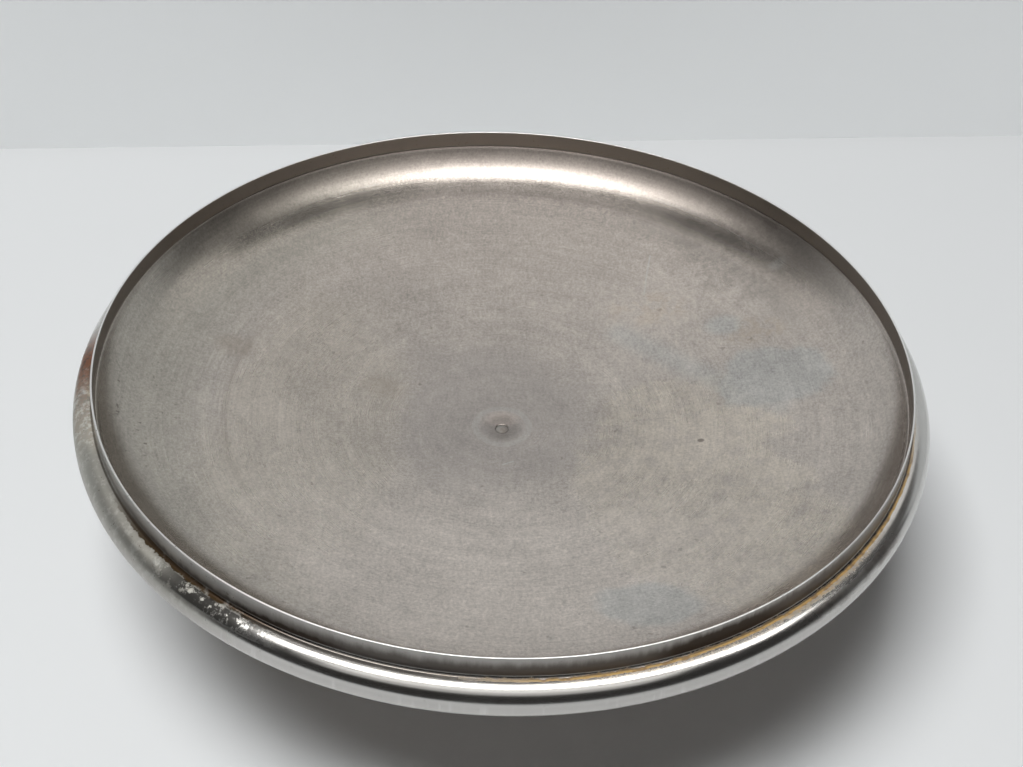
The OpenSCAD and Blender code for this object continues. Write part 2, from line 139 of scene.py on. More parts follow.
class StageLook(bpy.types.PropertyGroup):
    """Camera, light and backdrop."""
    lens: FloatProperty(name="Lens", description="Focal length", default=54.12, min=10, max=300,
                        subtype="DISTANCE_CAMERA")
    key: FloatProperty(name="Key", description="Brightness of the panel that lights the stage",
                       default=10.9, min=0.0, max=50.0)
    panel: FloatProperty(name="Panel", description="Brightness of the panel the metal reflects",
                         default=4.2, min=0.0, max=50.0)
    ceiling: FloatProperty(name="Ceiling", description="Brightness of the wide ceiling panel",
                           default=0.02, min=0.0, max=50.0)
    under: FloatProperty(name="Under", description="Brightness of the panel under the floor",
                         default=0.6, min=0.0, max=50.0)
    sky: FloatProperty(name="Surround", description="Brightness of the surround", default=0.03,
                       min=0.0, max=5.0)
    sky_rise: FloatProperty(name="Surround rise", description="How many times brighter the "
                            "surround is behind", default=3.0, min=1.0, max=20.0)
    wall_y: length("Wall place", "Distance of the backdrop behind the axis", 0.2905, 0.2, 4.0)
    wall_yaw: FloatProperty(name="Wall turn", description="Turn of the backdrop",
                            default=math.radians(6.6), subtype="ANGLE")
    wall_glow: share("Wall glow", "Light that the backdrop gives off", 0.37)
    floor: colour("Floor", "Colour of the floor", (0.89, 0.90, 0.91))
    wall: colour("Wall", "Colour of the backdrop", (0.66, 0.675, 0.68))


# ---------------------------------------------------------------- surfaces

def unit(v):
    """Each row of v at length one."""
    return v / np.linalg.norm(v, axis=-1, keepdims=True)


def rounded(corners, steps=6):
    """A closed section with its corners rounded. A corner is (r, z, radius). The circle that
    touches both sides there has its centre on the line that halves the corner, and the arc is
    that centre plus the radius times a direction turned evenly from one side's normal to the
    other's. One more point on each side, just off the arc, keeps the flat faces flat."""
    c = np.array(corners, float)
    p, radius = c[:, :2], c[:, 2:3]
    back, ahead = unit(np.roll(p, 1, 0) - p), unit(np.roll(p, -1, 0) - p)
    half = np.arccos(np.clip((back * ahead).sum(1, keepdims=True), -1, 1)) / 2
    reach = radius / np.tan(half)
    centre = p + unit(back + ahead) * radius / np.sin(half)
    first, last = unit(p + back * reach - centre), unit(p + ahead * reach - centre)
    turn = math.pi - 2 * half
    s = np.linspace(0, 1, steps)[None, :, None]
    turn = turn[:, None]
    arc = (np.sin((1 - s) * turn) * first[:, None] + np.sin(s * turn) * last[:, None])
    arc = centre[:, None] + radius[:, None] * arc / np.sin(turn)
    near = np.minimum(0.4 * radius, 0.3 * MM)
    ends = [(p + side * (reach + near))[:, None] for side in (back, ahead)]
    return np.concatenate([ends[0], arc, ends[1]], 1).reshape(-1, 2)


def sheet_loop(middle, half, cap_steps=7):
    """Closed section of a bent sheet from its middle line. One side is the line moved half a
    thickness to the right of its direction, the other the same to the left, and each end is
    a half circle about the line's last point."""
    d = unit(np.gradient(middle, axis=0))
    right = np.stack([d[:, 1], -d[:, 0]], 1)
    turn = np.linspace(0, math.pi, cap_steps)[1:-1, None]
    far_cap = middle[-1] + half * (np.cos(turn) * right[-1] + np.sin(turn) * d[-1])
    near_cap = middle[0] + half * (-np.cos(turn) * right[0] - np.sin(turn) * d[0])
    return np.concatenate([middle + half * right, far_cap,
                           (middle - half * right)[::-1], near_cap])


def carried_round(section, steps, centre=(0.0, 0.0), wave=None):
    """A closed section (r, z) carried round an upright axis at centre: x = r cos a, y = r sin a.
    wave(r, a) is added to z. The section runs anticlockwise, so its faces look outwards."""
    a = np.linspace(0, 2 * math.pi, steps, endpoint=False)[:, None]
    r, z = section[None, :, 0], section[None, :, 1]
    lift = 0 if wave is None else wave(r, a)
    return np.stack([centre[0] + r * np.cos(a), centre[1] + r * np.sin(a),
                     z + lift + 0 * a], -1)


def carried_along(section, path, turn):
    """A closed section (across, up) carried along a level straight path of (distance, grow)
    stations at the angle turn: across runs to the right of the path. grow scales the section's
    width, so that a rib can flare."""
    along, grow = path[:, 0, None], path[:, 1, None]
    across, up = section[None, :, 0] * grow, section[None, :, 1] + 0 * along
    c, s = math.cos(turn), math.sin(turn)
    return np.stack([along * c + across * s, along * s - across * c, up], -1)


def quads_of(rows, columns, closed_rows=True):
    """Corner numbers of the faces on a grid whose columns always join up again."""
    i, j = np.meshgrid(np.arange(rows if closed_rows else rows - 1), np.arange(columns),
                       indexing="ij")
    k, m = (i + 1) % rows, (j + 1) % columns
    return np.stack([i * columns + j, k * columns + j, k * columns + m, i * columns + m],
                    -1).reshape(-1, 4)


def piece(name, grids, body, nodes, finish):
    """One object at the origin from grids of points, (points, closed along rows). A grid that is
    open along its rows gets a flat face over each end."""
    points, faces, start = [], [], 0
    for grid, closed in grids:
        rows, columns = grid.shape[:2]
        faces += (quads_of(rows, columns, closed) + start).tolist()
        if not closed:
            ring = np.arange(columns) + start
            faces += [ring.tolist(), (ring[::-1] + (rows - 1) * columns).tolist()]
        points.append(grid.reshape(-1, 3))
        start += rows * columns
    mesh = bpy.data.meshes.new(name)
    mesh.from_pydata(np.concatenate(points).tolist(), [], faces)
    mesh.polygons.foreach_set("use_smooth", np.ones(len(mesh.polygons), bool))
    mesh.materials.append(finish)
    mesh.update()
    made = bpy.data.objects.new(name, mesh)
    bpy.context.scene.collection.objects.link(made)
    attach(made, body)
    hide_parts(*nodes)
    return made


# ---------------------------------------------------------------- finishes

class Value:
    """A node's output socket that takes part in Python arithmetic. Each sign adds one Math
    node; numbers alone never do."""

    def __init__(self, finish, socket):
        self.finish, self.socket = finish, socket

    def math(self, operation, *values):
        return self.finish.node("ShaderNodeMath", {"operation": operation},
                                dict(enumerate(values)))

    def __add__(self, other):
        return self.math("ADD", self, other)

    def __sub__(self, other):
        return self.math("SUBTRACT", self, other)

    def __rsub__(self, other):
        return self.math("SUBTRACT", other, self)

    def __mul__(self, other):
        return self.math("MULTIPLY", self, other)

    def __truediv__(self, other):
        return self.math("DIVIDE", self, other)

    def __neg__(self):
        return self.math("MULTIPLY", self, -1.0)

    def __abs__(self):
        return self.math("ABSOLUTE", self)

    __radd__ = __add__
    __rmul__ = __mul__


class Shading:
    """The nodes of a material or a world. node() adds any node; step() and end() are shared."""

    def __init__(self, owner):
        owner.use_nodes = True
        self.owner, self.tree = owner, owner.node_tree
        self.tree.nodes.clear()

    def node(self, kind, settings=None, inputs=None, out=0):
        """Adds a node: its settings first (a ramp's stops among them), then its sockets' values
        or links, and returns one of its outputs."""
        made = self.tree.nodes.new(kind)
        for key, value in (settings or {}).items():
            if key == "stops":
                ramp = made.color_ramp.elements
                for place, tint in value[2:]:
                    ramp.new(place)
                for stop, (place, tint) in zip(ramp, sorted(value)):
                    stop.position, stop.color = place, (*tint, 1.0)
            else:
                setattr(made, key, value)
        for key, value in (inputs or {}).items():
            socket = made.inputs[key]
            if isinstance(value, Value):
                self.tree.links.new(value.socket, socket)
            elif socket.type == "RGBA" and len(value) == 3:
                socket.default_value = (*value, 1.0)
            else:
                socket.default_value = value
        return Value(self, made.outputs[out]) if made.outputs else made

    def step(self, value, low, high):
        """0 below low, 1 above high, smooth between; turned round if low is the larger."""
        return self.node("ShaderNodeMapRange", {"interpolation_type": "SMOOTHSTEP"},
                         {"Value": value, "From Min": low, "From Max": high})

    def end(self, kind, shader):
        """Links the finished shader to the output node."""
        self.node(kind, inputs={"Surface": shader})
        return self.owner


class Finish(Shading):
    """One material being made. Its methods name what the finishes share: places on the
    object, noise, spots, strokes and colour mixing."""

    def __init__(self, name):
        super().__init__(bpy.data.materials.new(name))
        where = self.node("ShaderNodeTexCoord", out="Object")
        self.place = where
        self.x, self.y, self.z = (self.node("ShaderNodeSeparateXYZ", inputs={0: where}, out=k)
                                  for k in range(3))
        flat = self.node("ShaderNodeVectorMath", {"operation": "MULTIPLY"},
                         {0: where, 1: (1.0, 1.0, 0.0)})
        self.r = self.node("ShaderNodeVectorMath", {"operation": "LENGTH"}, {0: flat},
                           out="Value")
        self.way = self.node("ShaderNodeVectorMath", {"operation": "NORMALIZE"}, {0: flat})

    def noise(self, scale, detail=3.0, rough=0.55, place=None, stretch=None, shift=0.0):
        """Noise from 0 to 1; stretch squeezes it along the axes."""
        place = place or self.place
        if stretch:
            place = self.node("ShaderNodeMapping", inputs={"Vector": place, "Scale": stretch})
        return self.node("ShaderNodeTexNoise", {"noise_dimensions": "4D"},
                         {"Vector": place, "W": shift, "Scale": scale, "Detail": detail,
                          "Roughness": rough}, "Fac")

    def between(self, value, low, high, soft):
        """1 from low to high, falling to 0 over soft on each side."""
        return self.step(value, low - soft, low) * self.step(value, high + soft, high)

    def most(self, *values):
        """The largest of several values at each point."""
        top = values[0]
        for value in values[1:]:
            top = top.math("MAXIMUM", top, value)
        return top

    def least(self, first, second):
        """The smaller of two values at each point."""
        return first.math("MINIMUM", first, second)

    def rings(self, pitch, drift=1.2, detail=3.0, shift=0.0):
        """Noise in rings about the axis, pitch metres apart, drifting slowly round them."""
        wander = self.node("ShaderNodeVectorMath", {"operation": "SCALE"},
                           {0: self.way, "Scale": drift})
        place = self.node("ShaderNodeVectorMath", {"operation": "ADD"}, {
            0: wander, 1: self.node("ShaderNodeCombineXYZ", inputs={2: self.r / pitch})})
        return self.noise(1.0, detail, 0.6, place, shift=shift)

    def spot(self, x, y, wide, deep, soft=0.3, ragged=0.0, grain=60.0):
        """1 inside an ellipse at (x, y) mm with half widths wide and deep mm. Its edge is
        soft, and noise makes it ragged."""
        off = self.node("ShaderNodeVectorMath", {"operation": "SUBTRACT"},
                        {0: self.place, 1: (x * MM, y * MM, 0.0)})
        off = self.node("ShaderNodeVectorMath", {"operation": "MULTIPLY"},
                        {0: off, 1: (1000.0 / wide, 1000.0 / deep, 0.0)})
        far = self.node("ShaderNodeVectorMath", {"operation": "LENGTH"}, {0: off}, "Value")
        if ragged:
            far = far + (self.noise(grain, 5.0, 0.6, shift=x * 0.1) - 0.5) * ragged
        return self.step(far, 1.0 + soft, 1.0 - soft)

    def stroke(self, x0, y0, x1, y1, wide, soft=0.5, ragged=0.0):
        """1 along a straight stroke between two places in mm."""
        run = math.hypot(x1 - x0, y1 - y0)
        c, s = (x1 - x0) / run, (y1 - y0) / run
        along = (self.x - x0 * MM) * (c * 1000) + (self.y - y0 * MM) * (s * 1000)
        across = (self.y - y0 * MM) * (c * 1000) - (self.x - x0 * MM) * (s * 1000)
        if ragged:
            across = across + (self.noise(45.0, 4.0) - 0.5) * ragged
        return self.between(along, 0.0, run, wide * 1.5) * self.step(
            abs(across), wide * (1 + soft), wide * (1 - soft) * 0.5)

    def toward(self, azimuth, half, soft=8.0):
        """1 within half degrees of an azimuth seen from the axis."""
        a = math.radians(azimuth)
        near = self.node("ShaderNodeVectorMath", {"operation": "DOT_PRODUCT"},
                         {0: self.way, 1: (math.cos(a), math.sin(a), 0.0)}, "Value")
        return self.step(near, math.cos(math.radians(min(half + soft, 180))),
                         math.cos(math.radians(max(half - soft, 0))))

    def mix(self, first, second, factor, blend="MIX"):
        """Two colours mixed by a factor."""
        return self.node("ShaderNodeMix", {"data_type": "RGBA", "blend_type": blend},
                         {0: factor, 6: first, 7: second}, 2)

    def shade(self, tint, amount):
        """A colour multiplied by a number that varies."""
        grey = self.node("ShaderNodeCombineXYZ", inputs={0: amount, 1: amount, 2: amount})
        return self.mix(tint, grey, 1.0, "MULTIPLY")

    def bump(self, height, depth, strength=1.0):
        """The normal of a surface raised by height times depth metres."""
        return self.node("ShaderNodeBump", inputs={"Strength": strength, "Distance": depth,
                                                   "Height": height})

    def surface(self, tint, rough, normal=None, **constants):
        """Ends the material in a Principled shader. Constants sit on its own sockets."""
        inputs = {"Base Color": tint, "Roughness": rough}
        if normal is not None:
            inputs["Normal"] = normal
        inputs.update({key.replace("_", " "): value for key, value in constants.items()})
        return self.end("ShaderNodeOutputMaterial",
                        self.node("ShaderNodeBsdfPrincipled", inputs=inputs))


def pan_steel_finish(tints):
    """Spun steel, worn and stained: fine rings, dried clay film, rubbed patches and specks; painted
    shade at the back right and under the lip.
    """
    f = Finish("brushed_pan_steel")
    wear = tints.wear
    fine = f.rings(0.45 * MM, 1.5, 4.0)
    broad = f.rings(5.0 * MM, 0.8, 3.0, shift=3.0)
    mottle = f.noise(38.0, 5.0, 0.62)
    patchy = f.noise(150.0, 4.0, 0.6, shift=11.0)
    grit = f.noise(1000.0, 3.0, 0.7)
    wiped = f.noise(700.0, 3.0, 0.7, stretch=(1.0, 0.25, 1.0), shift=12.0)
    scoured = f.noise(620.0, 3.0, 0.7, stretch=(0.2, 1.0, 1.0), shift=13.0)
    tone = (1.0 + (fine - 0.5) * 0.40 + (broad - 0.5) * 0.24 + (mottle - 0.5) * 0.42
            + (patchy - 0.5) * 0.28 + (wiped - 0.5) * 0.42 + (scoured - 0.5) * 0.20
            + (grit - 0.5) * 0.95 + (f.noise(12.0, 3.0, 0.5, shift=21.0) - 0.5) * 0.45)
    tint = f.shade(tuple(tints.pan_steel), tone)
    centre = f.spot(-4, 2, 38, 42, 0.30, 0.9, 40.0)
    tint = f.mix(tint, f.shade((0.47, 0.43, 0.405), 0.5 + tone * 0.5), centre * 0.65)
    shoulder = f.step(f.r, 98 * MM, 132 * MM) * f.step(f.x, -20 * MM, -90 * MM)
    tint = f.mix(tint, f.shade((0.36, 0.345, 0.30), tone), shoulder * (0.6 * wear))
    # Painted shade: darker at the back right, where the highlight ends
    back_right_shade = f.step(f.r, 118 * MM, 130 * MM) * f.toward(45, 16, 14)
    tint = f.mix(tint, (0.30, 0.28, 0.255), back_right_shade * (0.5 * wear))

    film = f.most(f.spot(70, -30, 38, 60, 0.10, 1.1, 42.0),
                  f.spot(88, -70, 34, 42, 0.10, 1.0, 42.0))
    film_left = f.spot(-72, -18, 34, 82, 0.22, 1.0, 30.0)
    film_front = f.spot(0, -84, 74, 46, 0.6, 0.8, 30.0)
    pale_film = f.shade(tuple(tints.beige_film), tone)
    tint = f.mix(tint, pale_film, film * f.step(patchy, 0.25, 0.60) * (0.6 * wear))
    tint = f.mix(tint, f.shade((0.54, 0.49, 0.43), tone), film_left * (0.5 * wear))
    tint = f.mix(tint, f.shade((0.70, 0.635, 0.585), tone), film_front * (0.65 * wear))
    tan = f.most(f.spot(58, 68, 15, 9, 0.3, 0.9, 90.0), f.spot(100, 50, 12, 7, 0.3, 0.9, 90.0))
    tint = f.mix(tint, (0.50, 0.40, 0.29), tan * f.step(patchy, 0.42, 0.56) * (0.25 * wear))

    rubbed = f.most(f.spot(106, 22, 22, 17, 0.14, 1.0, 60.0),
                    f.spot(52, -102, 17, 12, 0.2, 1.0, 60.0), f.spot(89, 55, 7, 5, 0.5, 0.5),
                    f.stroke(46, 55, 107, 6, 5.0, 0.8, 4.0) * 0.7) * wear
    tint = f.mix(tint, f.shade((0.52, 0.528, 0.52), tone), rubbed * 0.55)
    tint = f.mix(tint, (0.17, 0.15, 0.14), f.step(f.r, 9.8 * MM, 4.0 * MM) * 0.38)

    stain = f.most(f.spot(-48, 17, 9, 6, 0.5, 0.9) * 0.6, f.spot(-107, 25, 8, 6, 0.5, 0.9) * 0.8)
    tint = f.mix(tint, (0.27, 0.21, 0.15), stain * (0.28 * wear))
    # Painted shade in blotches at the back right, beside the end of the highlight
    blotchy_back_shade = f.spot(97, 98, 24, 34, 0.5, 0.8, 70.0) * f.step(f.noise(150.0, 4.0, 0.7), 0.44, 0.6)
    tint = f.mix(tint, (0.23, 0.21, 0.19), blotchy_back_shade * (0.38 * wear))
    pits = f.spot(-134, -28, 13, 36, 0.4) * f.step(f.noise(420.0, 3.0, 0.6), 0.62, 0.68)
    specks = f.step(f.noise(230.0, 2.0, 0.5, shift=7.0), 0.70, 0.75)
    dark = f.most(pits * 0.9, f.spot(76, -10, 1.3, 1.0, 0.3), specks * 0.45)
    tint = f.mix(tint, (0.12, 0.10, 0.085), dark * (0.7 * wear))
    arc = f.between(f.r, 105 * MM, 106 * MM, 1.6 * MM) * f.toward(184, 26)
    tint = f.mix(tint, (0.24, 0.21, 0.18), arc * (0.22 * wear))
    pale = f.most(f.stroke(57, 76, 60, 98, 0.35, 0.6, 1.5), f.stroke(1, -22, 5, -20, 0.3),
                  f.spot(112, 83, 3.0, 2.2, 0.5, 0.6, 200.0) * 0.8,
                  f.between(f.r, 9.6 * MM, 11.2 * MM, 0.9 * MM) * 0.35)
    tint = f.mix(tint, (0.66, 0.655, 0.64), pale * (0.45 * wear))
    # Painted shade: dark in the crevice under the lip all round, most on the far side, and on the
    # top of the far wall, where it dims the highlight
    far_side = 0.3 + f.toward(90, 62, 20) * 0.7
    lip_edge_shade = f.most(f.step(f.r, 147.3 * MM, 149.4 * MM) * far_side,
                   f.step(f.r, 138.0 * MM, 147.0 * MM) * f.toward(90, 62, 20) * 0.75)
    tint = f.mix(tint, (0.055, 0.045, 0.04), lip_edge_shade * 0.85)

    rough = (0.25 + (mottle - 0.5) * 0.12 + (fine - 0.5) * 0.06 + film * 0.03
             + film_left * 0.02 - rubbed * 0.05 + lip_edge_shade * 0.2)
    height = fine * 0.5 + (mottle - 0.5) * 0.6 + grit * 0.25
    return f.surface(tint, rough, f.bump(height, 0.010 * MM, 0.6), Metallic=1.0)


def rim_steel_finish(tints, bead_r):
    """Polished steel of the lip and bead, with rust run out of the groove and old dirt; painted
    shade and a painted highlight on the lip and bead.
    """
    f = Finish("polished_band_steel")
    wear = tints.wear
    bead_x, bead_z = RIM_HIGH.x - bead_r, RIM_LOW.z + bead_r
    turn = f.node("ShaderNodeMath", {"operation": "ARCTAN2"},
                  {0: f.z - bead_z, 1: f.r - bead_x}) * math.degrees(1)
    on_lip = f.step(f.z, bead_z + 6.9 * MM, bead_z + 7.5 * MM)
    on_bead = 1 - on_lip
    inside = f.step(f.r, RIM_HIGH.x - 8.45 * MM, RIM_HIGH.x - 8.6 * MM) * on_lip
    edge = f.step(f.z, RIM_HIGH.z - 0.26 * MM, RIM_HIGH.z - 0.08 * MM)
    fine = f.noise(900.0, 3.0, 0.6, stretch=(0.05, 0.05, 1.0))
    cloud = f.noise(55.0, 5.0, 0.6)
    drip = f.noise(260.0, 5.0, 0.65, stretch=(1.0, 1.0, 0.22))
    tone = 1.0 + (fine - 0.5) * 0.16 + (cloud - 0.5) * 0.20
    tint = f.shade(tuple(tints.rim_steel), tone)

    high = (f.z - (bead_z + 7.2 * MM)) / (7.7 * MM)
    ragged = high + (drip - 0.5) * 0.7
    lip_dark = (f.toward(272, 30) * f.step(ragged, 0.95, 0.35)
                + f.toward(308, 12) * f.step(ragged, 1.05, 0.6)
                + f.toward(235, 12) * f.step(ragged, 0.4, 0.05))
    tint = f.mix(tint, (0.27, 0.25, 0.23), on_lip * (0.6 * wear))
    tint = f.mix(tint, (0.075, 0.06, 0.05), lip_dark * on_lip * (0.75 * wear))
    # Painted shade on the lip's inner face, above where the dish meets it
    tint = f.mix(tint, (0.33, 0.305, 0.28), inside * 0.75)
    # Painted highlight along the lip's top edge
    tint = f.mix(tint, (0.92, 0.92, 0.91), edge * 0.9)

    speckle = f.step(f.noise(520.0, 4.0, 0.7, shift=2.0), 0.48, 0.60)
    line = f.between(turn + (drip - 0.5) * 18.0, 89.0, 95.5, 3.5) * f.toward(308, 36, 12)
    runs = f.between(turn + (drip - 0.5) * 36.0, 80.0, 93.0, 12.0) * (0.35 + speckle * 0.4)
    runs = runs * (f.toward(300, 16, 12) * 0.55 + f.toward(318, 8, 6) * 0.5)
    old = f.step(turn + (drip - 0.5) * 40.0, 70.0, 88.0) * f.toward(191, 9, 5)
    rust = f.least((line * (0.5 + cloud) + runs + old * 0.7) * on_bead * wear, 1.0)
    ochre = f.mix(tuple(tints.rust), (0.17, 0.085, 0.03), f.step(drip, 0.48, 0.62) * 0.7)
    tint = f.mix(tint, ochre, rust * 0.9)
    deep = f.toward(190, 10, 5) * f.step(turn + (drip - 0.5) * 60.0, 15.0, 50.0) * on_bead
    deep = deep * f.step(cloud + drip, 0.72, 0.95) * wear
    tint = f.mix(tint, f.mix((0.15, 0.058, 0.028), (0.06, 0.035, 0.025), speckle), deep)
    dull = f.toward(214, 22) * on_bead
    tint = f.mix(tint, (0.38, 0.37, 0.325), dull * (0.75 * wear))
    bloom = dull * f.step(f.noise(330.0, 5.0, 0.75, shift=5.0), 0.48, 0.62)
    tint = f.mix(tint, (0.70, 0.70, 0.66), bloom * (0.5 * wear))
    crust = f.toward(230, 12, 8) * f.between(turn + (drip - 0.5) * 34.0, 88.0, 104.0, 4.0)
    tint = f.mix(tint, (0.085, 0.055, 0.028), crust * on_bead * f.step(cloud + drip, 0.75, 0.95))
    scale = f.step(f.noise(240.0, 6.0, 0.75, shift=6.0), 0.41, 0.49)
    scale = scale * f.toward(235, 7, 5) * f.between(turn, 44.0, 82.0, 8.0) * wear
    tint = f.mix(tint, (0.03, 0.028, 0.026), scale * 0.95)
    brown = f.toward(320, 8, 5) * f.between(turn + (drip - 0.5) * 30.0, 28.0, 56.0, 10.0)
    tint = f.mix(tint, (0.12, 0.085, 0.07), brown * f.step(cloud, 0.35, 0.6) * (0.75 * wear))
    # Painted shade in the groove where the lip meets the bead
    groove_shade = f.step(abs(turn - GROOVE_TURN), 5.0, 1.0) * on_bead
    tint = f.mix(tint, (0.045, 0.03, 0.02), groove_shade * 0.8)
    freckles = f.step(f.noise(640.0, 2.0, 0.5, shift=9.0), 0.66, 0.71)
    tint = f.mix(tint, (0.13, 0.105, 0.085), freckles * (0.25 + f.toward(215, 24) * 0.45) * wear)
    # Painted shade on the bead's underside, broken by lighter streaks of painted floor reflection
    floor_reflection_streaks = f.noise(420.0, 4.0, 0.6, stretch=(1.0, 1.0, 0.1), shift=4.0)
    under = f.step(turn, 35.0, 5.0) * on_bead
    tint = f.mix(tint, (0.44, 0.42, 0.40), under * 0.6)
    tint = f.mix(tint, (0.68, 0.67, 0.65), f.step(floor_reflection_streaks, 0.52, 0.7) * under * 0.5)

    rough = (0.20 + (cloud - 0.5) * 0.10 + on_lip * 0.16 + rust * 0.30 + dull * 0.24 + deep * 0.4
             + scale * 0.25 + brown * 0.12 + lip_dark * on_lip * 0.15)
    height = (cloud - 0.5) * 1.0 + rust * speckle * 1.5 + fine * 0.3 + dull * bloom * 0.8
    metal = f.most(1.0 - rust * 0.75 - scale * 0.2 - deep * 0.85, 0.0)
    return f.surface(tint, rough, f.bump(height, 0.012 * MM, 0.7), Metallic=metal)


def turned_finish(name, tint, rough, along="r", pitch=0.4 * MM, stain=(0.22, 0.17, 0.12),
                  amount=0.2):
    """Machined metal: tool marks in rings on the faces and round the sides, an oily haze and
    a few brown specks."""
    f = Finish(name)
    facing = f.rings(pitch, 0.6, 3.0)
    sides = f.noise(1.0, 3.0, 0.6, f.node("ShaderNodeCombineXYZ", inputs={2: f.z / pitch}))
    marks = facing if along == "r" else sides if along == "z" else facing * 0.5 + sides * 0.5
    haze = f.noise(60.0, 5.0, 0.6)
    specks = f.step(f.noise(500.0, 3.0, 0.6, shift=3.0), 0.62, 0.70)
    shade = f.shade(tint, 1.0 + (marks - 0.5) * 0.22 + (haze - 0.5) * 0.18)
    shade = f.mix(shade, stain, specks * amount)
    height = marks * 0.8 + haze * 0.3
    return f.surface(shade, rough + (haze - 0.5) * 0.16 + specks * 0.1,
                     f.bump(height, 0.012 * MM, 0.7), Metallic=1.0)


def weld_finish():
    """Weld metal and the stud below it: ripples and heat colours that turn straw to blue."""
    f = Finish("weld_steel")
    ripple = f.rings(0.5 * MM, 2.5, 3.0)
    heat = f.noise(300.0, 4.0, 0.6)
    tint = f.node("ShaderNodeValToRGB", {"stops": [
        (0.30, (0.36, 0.35, 0.34)), (0.70, (0.24, 0.25, 0.28)), (0.45, (0.40, 0.385, 0.36)),
        (0.58, (0.33, 0.295, 0.265))]}, {0: heat})
    return f.surface(f.shade(tint, 0.85 + ripple * 0.3), 0.33 + (ripple - 0.5) * 0.2,
                     f.bump(ripple, 0.04 * MM, 0.8), Metallic=1.0)


def zinc_finish():
    """Zinc plate: a pale blue and straw bloom with fine spangle and white bloom."""
    f = Finish("zinc_steel")
    bloom = f.noise(140.0, 5.0, 0.6)
    spangle = f.node("ShaderNodeTexVoronoi", inputs={"Vector": f.place, "Scale": 700.0},
                     out="Distance")
    tint = f.node("ShaderNodeValToRGB", {"stops": [
        (0.30, (0.56, 0.58, 0.60)), (0.68, (0.62, 0.58, 0.46)), (0.5, (0.60, 0.60, 0.58))]},
        {0: bloom})
    white = f.step(f.noise(380.0, 4.0, 0.7, shift=2.0), 0.60, 0.72)
    tint = f.mix(f.shade(tint, 0.88 + spangle * 0.25), (0.62, 0.62, 0.60), white * 0.5)
    return f.surface(tint, 0.34 + (bloom - 0.5) * 0.2 + white * 0.2,
                     f.bump(spangle + white, 0.01 * MM, 0.6), Metallic=1.0 - white * 0.6)


def black_oxide_finish():
    """Black oxide, oiled: nearly black, rubbed to brown-grey steel in places."""
    f = Finish("black_steel")
    rub = f.step(f.noise(240.0, 5.0, 0.65), 0.56, 0.72)
    grain = f.noise(1500.0, 2.0, 0.5, shift=2.0)
    tint = f.mix((0.032, 0.032, 0.036), (0.20, 0.18, 0.165), rub * 0.6)
    return f.surface(f.shade(tint, 0.85 + grain * 0.3), 0.34 + rub * 0.1 + (grain - 0.5) * 0.1,
                     f.bump(grain, 0.01 * MM, 0.6), Metallic=0.6 + rub * 0.4)


def rubber_finish(name, tint):
    """Moulded rubber: matt, finely grained, with pale dust in its hollows and scuffs."""
    f = Finish(name)
    grain = f.noise(1300.0, 3.0, 0.6)
    cloud = f.noise(75.0, 5.0, 0.65, shift=2.0)
    scuff = f.step(f.noise(320.0, 4.0, 0.7, stretch=(1.0, 1.0, 0.4), shift=6.0), 0.58, 0.7)
    dust = f.step(cloud, 0.48, 0.72)
    shade = f.mix(f.shade(tint, 0.85 + grain * 0.3), (0.17, 0.16, 0.145), dust * 0.35)
    shade = f.mix(shade, (0.10, 0.095, 0.09), scuff * 0.4)
    return f.surface(shade, 0.72 + (cloud - 0.5) * 0.2 - scuff * 0.12,
                     f.bump(grain * 0.7 + scuff * 0.3, 0.05 * MM, 0.6),
                     Specular_IOR_Level=0.35)


def cast_iron_finish(tints):
    """Sand cast iron under enamel: pebbled skin, runs of dust, chips down to brown iron."""
    f = Finish("cast_iron")
    sand = f.noise(520.0, 4.0, 0.6)
    lumps = f.noise(90.0, 3.0, 0.5, shift=2.0)
    chips = f.step(f.noise(130.0, 6.0, 0.72, shift=5.0), 0.62, 0.65)
    rim = f.step(f.r, 93.0 * MM, 94.6 * MM) * f.step(f.noise(160.0, 5.0, 0.7), 0.55, 0.59)
    bare = f.most(chips, rim)
    dust = f.step(f.noise(45.0, 5.0, 0.6, shift=8.0), 0.45, 0.7)
    tint = f.shade(tuple(tints.enamel), 0.75 + lumps * 0.5)
    tint = f.mix(tint, (0.20, 0.19, 0.17), dust * 0.28)
    tint = f.mix(tint, (0.16, 0.115, 0.085), bare)
    return f.surface(tint, 0.38 + (lumps - 0.5) * 0.14 + bare * 0.25 + dust * 0.18,
                     f.bump(sand * 0.5 + lumps * 1.2 - bare * 0.8, 0.16 * MM, 0.7),
                     Metallic=bare * 0.45)


def felt_finish():
    """Oiled wool felt: matted fibres, darker where oil has soaked in."""
    f = Finish("seal_felt")
    fibre = f.noise(1900.0, 4.0, 0.7)
    mat = f.noise(500.0, 5.0, 0.65, shift=3.0)
    oil = f.step(f.noise(120.0, 4.0, 0.6, shift=6.0), 0.4, 0.65)
    tint = f.shade((0.24, 0.215, 0.18), 0.6 + fibre * 0.8)
    tint = f.mix(tint, (0.085, 0.068, 0.05), oil * 0.6)
    return f.surface(tint, 0.95 - oil * 0.3, f.bump(fibre * 0.6 + mat, 0.25 * MM, 0.9),
                     Sheen_Weight=0.25, Sheen_Roughness=0.6)


def bronze_finish():
    """Sintered bronze: tiny dark pores in a dull gold, dark with oil."""
    f = Finish("bush_bronze")
    pores = f.step(f.noise(2200.0, 2.0, 0.6), 0.56, 0.66)
    haze = f.noise(150.0, 4.0, 0.6, shift=2.0)
    tint = f.mix(f.shade((0.46, 0.30, 0.15), 0.8 + haze * 0.4), (0.11, 0.065, 0.035),
                 pores * 0.7)
    return f.surface(tint, 0.36 + pores * 0.25 + (haze - 0.5) * 0.15,
                     f.bump(-pores, 0.03 * MM, 0.8), Metallic=1.0)


